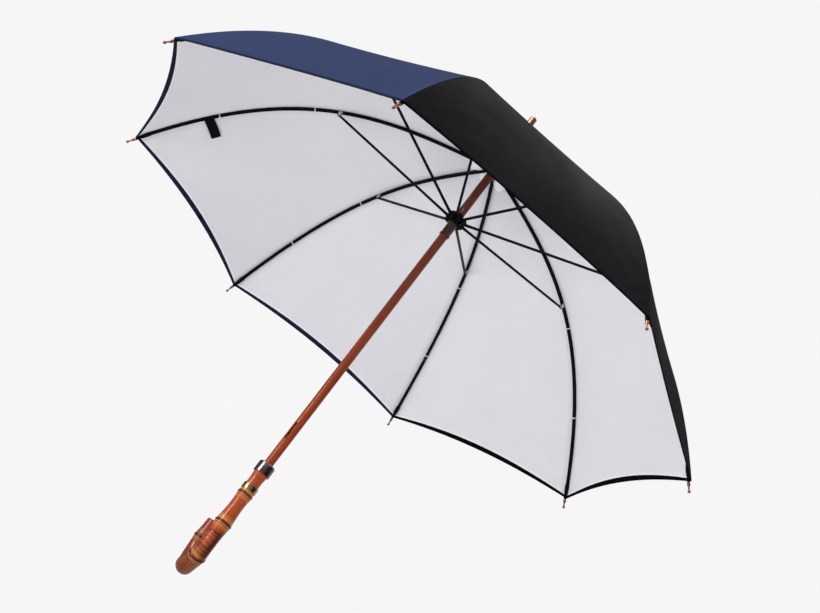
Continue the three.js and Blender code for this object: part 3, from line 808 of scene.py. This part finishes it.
def stretcher_piece(k):
    """A formed channel bar with an eye at each end, from the rib's joint to the runner."""
    angle = math.atan2(LINK_DROP, LINK_RUN)
    half = LINK_LENGTH / 2
    mid_x, mid_z = (JOINT_R + PIVOT_R) / 2, (JOINT_Z + RUNNER_Z) / 2
    c, s = math.cos(angle), math.sin(angle)

    def place(d, y, h):
        return (mid_x + d * c - h * s, y, mid_z + d * s + h * c)

    rings = []
    for d, w, h, groove in ((-half + 1.8, 1.2, 1.9, 0.0), (-half + 6, 1.2, 2.3, 0.0),
                            (-half + 10, 1.25, 2.2, 0.1), (-half + 16, 1.75, 1.8, 0.9),
                            (-half + 30, 1.8, 1.65, 1.2), (-40, 1.8, 1.65, 1.2),
                            (40, 1.8, 1.65, 1.2), (half - 24, 1.8, 1.65, 1.2),
                            (half - 12, 1.6, 1.6, 0.7), (half - 8, 1.2, 1.6, 0.0),
                            (half - 1.8, 1.2, 1.5, 0.0)):
        section = [(-w, -h), (-w, h - 0.45), (-w + 0.45, h), (w - 0.45, h), (w, h - 0.45), (w, -h),
                   (w * 0.62, -h), (w * 0.5, -h + groove), (-w * 0.5, -h + groove),
                   (-w * 0.62, -h)]
        rings.append([place(d, y, z) for y, z in section])
    parts = Parts()
    parts.sweep(rings)
    for d in (-half, half):
        parts.ring(eye_rings(place(d, 0, 0)[::2]))
    made = parts.piece(f"stretcher_bar_{k}", [black_steel], azimuth(k))
    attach(made, f"stretcher_body_{k}")
    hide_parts(f"stretcher_{k}")


def bracket_piece(k):
    """The nickel clip on the rib that carries the stretcher's rivet."""
    parts = Parts()
    joint = (JOINT_R, JOINT_Z)
    outline = [(-3.4, 1.7), (-3.4, -1.5), (-2.2, -4.2), (-1.2, -6.6), (0.0, -7.3), (1.2, -6.6),
               (2.2, -4.2), (3.4, -1.5), (3.4, 1.7)]
    for side in (-1, 1):
        parts.sweep([[on_rib(JOINT_R, x * (1 - inset / 4), y * side, z) for x, z in outline]
                     for y, inset in ((1.55, 0.15), (1.75, 0.0), (2.45, 0.0), (2.65, 0.15))])
        parts.sweep([hinge_ring(joint, radius, y * side, 16)
                     for radius, y in ((1.7, 2.6), (1.65, 3.0), (1.1, 3.4), (0.3, 3.5))])
    parts.sweep([hinge_ring(joint, 0.6, y, 12) for y in (-2.6, 2.6)])
    made = parts.piece(f"rib_clip_{k}", [silver], azimuth(k))
    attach(made, f"inner_{k}")


TIP_OUTLINE = [(0, -0.3), (2.1, -0.3), (2.35, 0.3), (2.5, 3.0), (2.1, 3.9), (1.55, 5.5),
               (1.25, 7.5), (1.15, 9.6), (1.5, 10.8), (2.05, 12.0), (2.3, 13.2), (2.1, 14.2),
               (1.5, 14.9), (0.8, 15.3), (0, 15.4)]


def tip_piece(k):
    angle = math.atan(slope(CANOPY_R))
    parts = Parts()
    parts.put(*lathe(TIP_OUTLINE, 24, (CANOPY_R, 0, rib_z(CANOPY_R)), math.pi / 2 + angle))
    made = parts.piece(f"rib_end_{k}", [tip_brass], azimuth(k), sharp=50)
    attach(made, f"outer_{k}")
    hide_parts(f"rib_tip_{k}")


POCKET_R = 507


def squared(value, power):
    """A sine or cosine that draws a circle out towards a square."""
    return math.copysign(abs(value) ** power, value)


def pocket_piece(k):
    """The cloth pocket sewn to the canopy's corner, which takes the rib's end."""
    rings = []
    for d, w, top, low in ((-12, 3.4, 2.9, -2.0), (-10, 3.7, 2.9, -2.6), (-6, 3.6, 2.9, -2.9),
                           (-2, 3.4, 2.9, -2.9), (2.5, 3.1, 2.8, -2.8), (4.2, 2.8, 2.5, -2.6)):
        ring = []
        for a in circle(20):
            h = (top if math.sin(a) > 0 else -low) * squared(math.sin(a), 0.8)
            ring.append(on_rib(POCKET_R, d, w * squared(math.cos(a), 0.8), h))
        rings.append(ring)
    parts = Parts()
    parts.sweep(rings)
    made = parts.piece(f"corner_pocket_{k}", [webbing], azimuth(k), sharp=50)
    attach(made, f"outer_{k}")


def tie_piece(k, n, r):
    """Three turns of white thread round the rib, sewn into the seam."""
    thread_r, pitch = 0.34, 0.62
    parts = Parts()
    for turn in (-1, 0, 1):
        rings = []
        for a in circle(20):
            y = 2.75 * squared(math.cos(a), 0.55)
            h = 0.35 + 2.6 * squared(math.sin(a), 0.55)
            ring = []
            for b in circle(8):
                scale = 1 + thread_r * math.cos(b) / 2.7
                d = turn * pitch + thread_r * math.sin(b)
                ring.append(on_rib(r, d, y * scale, h * scale))
            rings.append(ring)
        parts.ring(rings)
    made = parts.piece(f"thread_tie_{k}_{n}", [thread], azimuth(k), sharp=60)
    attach(made, f"outer_{k}")


TIES = (308.0, 430.0)
for k in range(1, RIBS + 1):
    rib_piece(k)
    tape_piece(k)
    stretcher_piece(k)
    bracket_piece(k)
    tip_piece(k)
    pocket_piece(k)
    for n, r in enumerate(TIES, 1):
        tie_piece(k, n, r)

# ---- crown rosette


def rosette_piece(k):
    """One lobe of the pale cloth rosette under the crown."""
    rim = 40.0
    radii = np.linspace(9.0, rim, 9)
    spread = np.linspace(-0.5, 0.5, 9)
    points = []
    for layer in (0, 1):
        for r in radii:
            for f in spread:
                a = f * STEP
                between = math.sin(math.pi * f) ** 2  # 0 over the rib and 1 halfway to the next
                reach = r + 2.5 * between * (r / rim) ** 3
                lift = 2.35 + 0.3 * layer - 9.0 * between * (r / rim) ** 1.5
                points.append((reach * math.cos(a), reach * math.sin(a), rib_z(r) + lift))
    parts = Parts()
    parts.put(points, slab_faces(len(radii) - 1, len(spread) - 1))
    made = parts.piece(f"crown_rosette_{k}", [rosette_cloth], azimuth(k), sharp=60)
    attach(made, f"inner_{k}")
    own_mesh(made)


for k in range(1, RIBS + 1):
    rosette_piece(k)

# ---- tie strap and its button


def strap_piece():
    """The tie strap, sewn into the seam beside rib 2 and lying back along the lining."""
    k, side, base_r = 2, -1, 442.5
    length, half = 42.0, 5.4
    steps, width = 14, 7
    points, uv = [], []
    for layer in (0, 1):
        for i in range(steps + 1):
            run = length * i / steps
            lift = -1.0 - 3.2 * math.sin(math.pi * min(run / 46.0, 1)) + 0.9 * layer
            r = base_r - 0.7 * math.sin(run / 14) + 3.4 * run / length
            s = (2.2 + run) / (r * GORE_SPAN / 2)
            for j in range(width + 1):
                d = half * (2 * j / width - 1)
                curl = 0.35 * (2 * j / width - 1) ** 2
                points.append(cloth_point(np.float64(r + d), np.float64(s), side,
                                          np.float64(lift + curl)))
                uv.append((d * 1.55 * MM, run * MM))
    parts = Parts()
    parts.put(points, slab_faces(steps, width, flipped=True), uv)
    made = parts.piece("tie_strap", [webbing], azimuth(k), sharp=60)
    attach(made, f"outer_{k}")
    flatten(made)


def button_piece():
    """The snap button for the strap, on the hem a little off the panel's middle."""
    k, side = 1, 1
    s = np.float64(0.93)
    r = hem_end(s) - 1.5
    here = cloth_point(r, s, side, np.float64(COVER))
    dr = cloth_point(r + 1, s, side, np.float64(COVER)) - here
    out = cloth_point(r, s, side, np.float64(COVER + 1)) - here
    out -= dr * (out @ dr) / (dr @ dr)
    out /= np.linalg.norm(out)
    u = dr / np.linalg.norm(dr)
    v = np.cross(out, u)
    profile = [(0.0, -2.6), (3.6, -2.6), (3.8, -2.0), (3.6, -1.8), (2.0, -1.7), (2.0, 0.2),
               (4.6, 0.25), (4.9, 0.9), (4.2, 1.8), (3.0, 1.95), (2.2, 1.6), (0.0, 1.5)]
    points, faces = lathe(profile, 28)
    placed = here + np.outer(points[:, 0], u) + np.outer(points[:, 1], v) + np.outer(
        points[:, 2], out)
    parts = Parts()
    parts.put(placed, faces)
    made = parts.piece("strap_button", [black_steel], azimuth(k), sharp=40)
    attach(made, f"outer_{k}")
    flatten(made)


strap_piece()
button_piece()

# ---- shaft, runner and metalwork

CATCH_ANGLE = math.radians(135)
STAPLE_ANGLE = math.radians(165)

shaft = lathe_piece("shaft_rod", [
    (0, 34), (5, 34), (5, 72), (7, 72), (7, 400), (7, 706), (6.2, 751.7), (4, 751.7),
    (4, 773.7), (0, 773.7)], 56, shaft_wood, "shaft_and_handle", "shaft")
cut_away(shaft, [
    cutter_box((-1, -1.5, z - 12), (8, 1.5, z + 18), CATCH_ANGLE)
    for z in (TOP_CATCH_Z, BOTTOM_CATCH_Z)] + [
    cutter_box((3, -0.85, STAPLE_Z + d - 0.85), (9, 0.85, STAPLE_Z + d + 0.85), STAPLE_ANGLE)
    for d in (-3, 3)])

q = RUNNER_Z
sleeve = lathe_piece("runner_tube", [
    (7.3, q - 34), (8.5, q - 34), (8.9, q - 33.6), (8.95, q - 32.6), (8.8, q - 32.0),
    (8.3, q - 31.6), (8.1, q - 31.0), (8.1, q - 12), (8.35, q - 11.4), (8.35, q - 10.2),
    (8.1, q - 9.6), (8.1, q - 6.8), (7.3, q - 6.8)],
    56, sleeve_metal, "runner", "runner_sleeve")
cut_away(sleeve, [cutter_box((6, -1.8, TOP_CATCH_Z - 6), (11, 1.8, TOP_CATCH_Z + 6), CATCH_ANGLE)])

lathe_piece("ferrule_cap", [
    (0, 774), (4.3, 774), (4.3, 752), (5.8, 752), (6.1, 752.4), (6.1, 755), (5.85, 755.6),
    (5.85, 757.2), (6.1, 757.8), (6.1, 812.8), (5.95, 814.2), (5.4, 815.3), (4.6, 816), (0, 816)],
    64, copper, "shaft_and_handle", "ferrule")
lathe_piece("grip_collar", [
    (7.3, 72), (11.8, 72), (11.8, 66), (12.7, 66), (13.0, 66.4), (13.0, 81.4), (12.6, 82.3),
    (11.9, 83), (7.3, 83)], 72, gunmetal, "shaft_and_handle", "handle_collar")
lathe_piece("grip_band", [
    (11.15, 35.5), (11.65, 35.5), (11.95, 35.9), (11.95, 36.6), (11.85, 36.9), (11.85, 43.1),
    (11.95, 43.4), (11.95, 44.1), (11.65, 44.5), (11.15, 44.5)], 64, gold_plate,
    "shaft_and_handle", "handle_band")
lathe_piece("crown_washer", [
    (7.3, 700.2), (16.4, 700.2), (17, 700.6), (17, 701.1), (16.5, 701.6), (14.5, 702.3),
    (12.5, 703.0), (10.0, 703.6), (7.3, 703.8)], 64, black_steel, "shaft_and_handle",
    "crown_cap")

# ---- bamboo handle

STRAIGHT = HANDLE_TOP - GRIP_BOTTOM
BEND = math.pi * BEND_R
TOTAL = STRAIGHT + BEND + CROOK_END - GRIP_BOTTOM
NODES = [HANDLE_TOP - 29.5, HANDLE_TOP + 21, STRAIGHT + BEND_R * math.radians(36),
         STRAIGHT + BEND_R * math.radians(104), STRAIGHT + BEND + 7]
NODE_SIZES = (1.1, 0.95, 1.15, 0.9, 1.1)
WAIST, FLARE, NODE_FLARE = 9.9, 1.4, 1.3
SWELL, SWELL_FROM, SWELL_RUN = 1.4, 40, 55
END_ROUND = 1.2


def cane_point(s):
    """The cane's middle line, s from its top, as (x, z, angle turned)."""
    if s <= STRAIGHT:
        return 0.0, HANDLE_TOP - s, 0.0
    if s - STRAIGHT <= BEND:
        a = (s - STRAIGHT) / BEND_R
        return BEND_R * (1 - math.cos(a)), GRIP_BOTTOM - BEND_R * math.sin(a), a
    return 2 * BEND_R, GRIP_BOTTOM + s - STRAIGHT - BEND, math.pi


def growth_rings():
    """Uneven grooves, close together below the second node and through the bend."""
    rng = np.random.default_rng(7)
    grooves, s = [], 0.0
    while s < TOTAL - 4:
        dense = HANDLE_TOP + 27 < s < STRAIGHT + BEND * 0.62
        s += rng.uniform(4.2, 6.2) if dense else rng.uniform(9.0, 17.0)
        if min(abs(s - n) for n in NODES) > 5:
            grooves.append((s, rng.uniform(0.75, 1.0) if dense else rng.uniform(0.1, 0.3),
                            rng.uniform(1.1, 2.0), rng.uniform(0, 2 * math.pi)))
    return grooves


def cane_piece():
    count, around = ((430, 56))
    grooves = growth_rings()
    stations = np.linspace(0, TOTAL, count)
    phi = circle(around)
    points, uv, node_mm, ring, shade_and_dark_bend = [], [], [], [], []
    for s in stations:
        x, z, a = cane_point(s)
        tilt = 0.35 * np.sin(phi + 0.8) + 0.2 * np.sin(2 * phi + s * 0.01)
        off = np.array([min((s + 0.6 * t - n for n in NODES), key=abs) for t in tilt])
        swell = min(max((s - SWELL_FROM) / SWELL_RUN, 0.0), 1.0)
        radius = (WAIST + FLARE * math.exp(-((s / 12) ** 2))
                  + SWELL * swell * swell * (3 - 2 * swell) + 0 * phi)
        for n, size in zip(NODES, NODE_SIZES):
            d = s + 1.1 * tilt - n
            radius += NODE_FLARE * np.exp(-((d / 14) ** 2))
            radius += 1.15 * size * np.exp(-(np.abs(d / 1.7) ** 2.4))
            radius -= 0.35 * np.exp(-(((d - 2.6) / 0.7) ** 2))
            radius += 0.5 * size * np.exp(-(((d - 3.9) / 1.0) ** 2))
        depth = np.zeros(around)
        for at, amount, width, phase in grooves:
            if abs(s - at) < 6:
                wobble = 0.7 * np.sin(phi + phase) + 0.35 * np.sin(3 * phi + 2 * phase)
                arc = 0.82 + 0.18 * np.cos(phi - phase)
                depth = np.maximum(depth, amount * arc * np.exp(
                    -(((s - at - wobble) / width) ** 2)))
        radius -= 0.32 * depth
        radius *= 1 + 0.012 * np.sin(2 * phi + s / 60) + 0.006 * np.sin(3 * phi - s / 35)
        short = END_ROUND - (TOTAL - s)
        if short > 0:
            radius += math.sqrt(max(END_ROUND ** 2 - short ** 2, 0)) - END_ROUND
        points.append(np.stack([x + radius * np.cos(phi) * math.cos(a), -radius * np.sin(phi),
                                z + radius * np.cos(phi) * math.sin(a)], 1))
        uv.append(np.stack([phi / (2 * math.pi) * 0.06, np.full(around, s * MM)], 1))
        node_mm.append(off)
        ring.append(depth)
        # darker through the bend, and painted shade down the far side below the second node, away
        # from the key light
        bend_share = min(max((s - STRAIGHT - 5) / 50, 0), 1)
        below = math.exp(-(((s - HANDLE_TOP - 58) / 24) ** 4))
        shade_and_dark_bend.append(np.maximum(0.45 * bend_share, below * np.exp(-(((phi - 2.1) / 1.0) ** 4))))
    parts = Parts()
    parts.put(np.concatenate(points), tube_faces(count, around), np.concatenate(uv))
    made = parts.piece("bamboo_crook", [bamboo], sharp=50, fields={
        "node_mm": np.concatenate(node_mm), "ring": np.concatenate(ring),
        "shade_and_dark_bend": np.concatenate(shade_and_dark_bend)})
    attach(made, "shaft_and_handle")
    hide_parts("crook_handle")


cane_piece()

# ---- CAD pieces that stay


def refinish(node, material, bevel):
    piece = bpy.data.objects[node]
    piece.data.materials.clear()
    piece.data.materials.append(material)
    piece.data.polygons.foreach_set("use_smooth", [True] * len(piece.data.polygons))
    piece.data.set_sharp_from_angle(angle=math.radians(35))
    if bevel:
        modifier = piece.modifiers.new("edges", "BEVEL")
        modifier.width = bevel * MM
        modifier.segments = 2
        modifier.limit_method = "ANGLE"
        modifier.angle_limit = math.radians(50)
        modifier.harden_normals = True


refinish("crown_notch", black_nylon, 0.2)
refinish("runner_head", black_nylon, 0.25)
refinish("runner_stop_staple", silver, 0)
refinish("top_spring_catch", blued_steel, 0.12)
refinish("bottom_spring_catch", blued_steel, 0.12)

# ---- camera, light and floor

# the camera's own axes and place, from the perspective fit to the photo
right = Vector((-0.33654621, -0.75578846, 0.56171208))
up = Vector((-0.20714923, 0.64131633, 0.73878452))
forward = Vector((0.91859994, -0.1322769, 0.37239358))
camera_data = bpy.data.cameras.new("camera")
camera_data.lens = 53.62
camera_data.sensor_width = 36.0
camera_data.clip_end = 60.0
camera = add_object("camera", camera_data)
eye = Vector((-1.73356, 0.2244, -0.28906))
turn = Matrix((right, up, -forward)).transposed()
camera.matrix_world = Matrix.Translation(eye) @ turn.to_4x4()
scene.camera = camera

world = bpy.data.worlds.new("studio")
scene.world = world
world.use_nodes = True
world.node_tree.nodes.clear()
sky = Nodes(world.node_tree)
toward = sky.node("TexCoord").outputs["Generated"]
split = sky.node("SeparateXYZ", {0: toward}).outputs
overcast = sky.ramp(sky.span(split[2], -1.0, 1.0), [
    (0.1, (0.80, 0.80, 0.82)), (0.75, (0.98, 0.98, 1.0))])
lit = sky.node("Background", {0: overcast, 1: 0.78})
# what shiny surfaces see: the room's dark side and its bright windows, by compass direction
compass = sky.span(sky.math("ARCTAN2", split[1], split[0]), -math.pi, math.pi)
views = ((0.0, 0.22), (0.05, 0.1), (0.10, 0.02), (0.19, 0.02), (0.25, 0.2), (0.33, 0.7),
         (0.45, 0.3), (0.62, 0.12), (0.74, 0.2), (0.78, 1.7), (0.83, 1.7), (0.87, 0.3), (1.0, 0.22))
room = sky.ramp(compass, [(at, (level, 0.97 * level, 1.02 * level)) for at, level in views])
shiny = sky.node("Background", {0: room, 1: 0.8})
seen = sky.node("Background", {0: (0.921, 0.921, 0.921, 1), 1: 1.0})
ray = sky.node("LightPath").outputs
unseen = sky.node("MixShader", {
    0: ray["Is Glossy Ray"], 1: lit.outputs[0], 2: shiny.outputs[0]})
world_light = sky.node("MixShader", {
    0: ray["Is Camera Ray"], 1: unseen.outputs[0], 2: seen.outputs[0]})
sky.node("OutputWorld", {0: world_light.outputs[0]})

scene.view_settings.view_transform = "Standard"
scene.view_settings.look = "None"


def softbox(name, place, aim, size, power):
    data = bpy.data.lights.new(name, "AREA")
    data.shape = "RECTANGLE"
    data.size, data.size_y = size
    data.energy = power
    light = add_object(name, data)
    light.location = place
    light.rotation_mode = "QUATERNION"
    light.rotation_quaternion = (aim - place).to_track_quat("-Z", "Y")
    return light


middle = Vector((0, 0, 0.35))
softbox("key", middle + Vector((-0.90, 2.23, 0.97)), middle, (0.5, 2.2), 40)
fill = softbox("fill", middle + Vector((-1.1, 1.5, -1.25)), middle + Vector((0, -0.2, 0.15)),
               (1.5, 1.5), 30)
fill.visible_glossy = False
softbox("top", middle + Vector((0.3, -0.4, 2.6)), middle + Vector((0, 0, 0.2)), (2.2, 2.2), 26)

FLOOR_HALF, FLOOR_Z = 14000, -620
paper = Look("floor_paper", Roughness=0.9, Specular_IOR_Level=0.1)
paper.link(paper.mix(paper.noise(paper.coords(), 2.0), (0.86, 0.86, 0.86),
                     (0.89, 0.89, 0.89)), "Base Color")
floor = add_mesh("floor", [(x * FLOOR_HALF, y * FLOOR_HALF, FLOOR_Z) for x, y in (
    (-1, -1), (1, -1), (1, 1), (-1, 1))], [(0, 1, 2, 3)], [paper.material])
floor.visible_glossy = False
